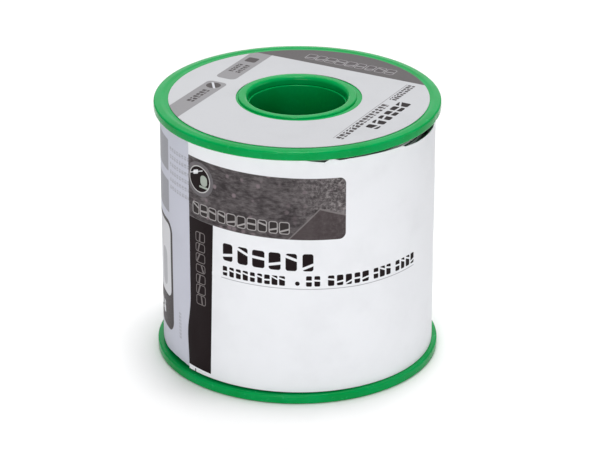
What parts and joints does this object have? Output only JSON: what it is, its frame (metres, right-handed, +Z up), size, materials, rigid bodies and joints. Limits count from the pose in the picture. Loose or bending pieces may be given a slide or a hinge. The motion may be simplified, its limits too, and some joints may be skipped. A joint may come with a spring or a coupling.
{
  "type": "solder wire spool",
  "caption": "Upright plastic reel of lead-free solder wire with a paper wrap label, a ring label on its top flange and a spindle bore through its hub.",
  "frame": {"origin": "centre of the lower flange's underside, on the surface the reel stands on", "axes": "+Z up along the reel's axis; the wrap label's printed side faces -Y"},
  "size_m": [0.056, 0.056, 0.0531],
  "materials": {
    "green_plastic": "smooth injection moulding, satin gloss",
    "solder_wire": "bright drawn tin alloy wire",
    "wrap_paper": "coated white paper, printed",
    "ring_paper": "coated light grey paper, printed"
  },
  "bodies": {
    "root": {"top_flange": "green_plastic", "bottom_flange": "green_plastic", "hub_tube": "green_plastic", "solder_wire_inner_layers": "solder_wire", "solder_wire_outer_layer": "solder_wire", "wrap_label": "wrap_paper", "top_ring_label": "ring_paper"}
  },
  "joints": []
}
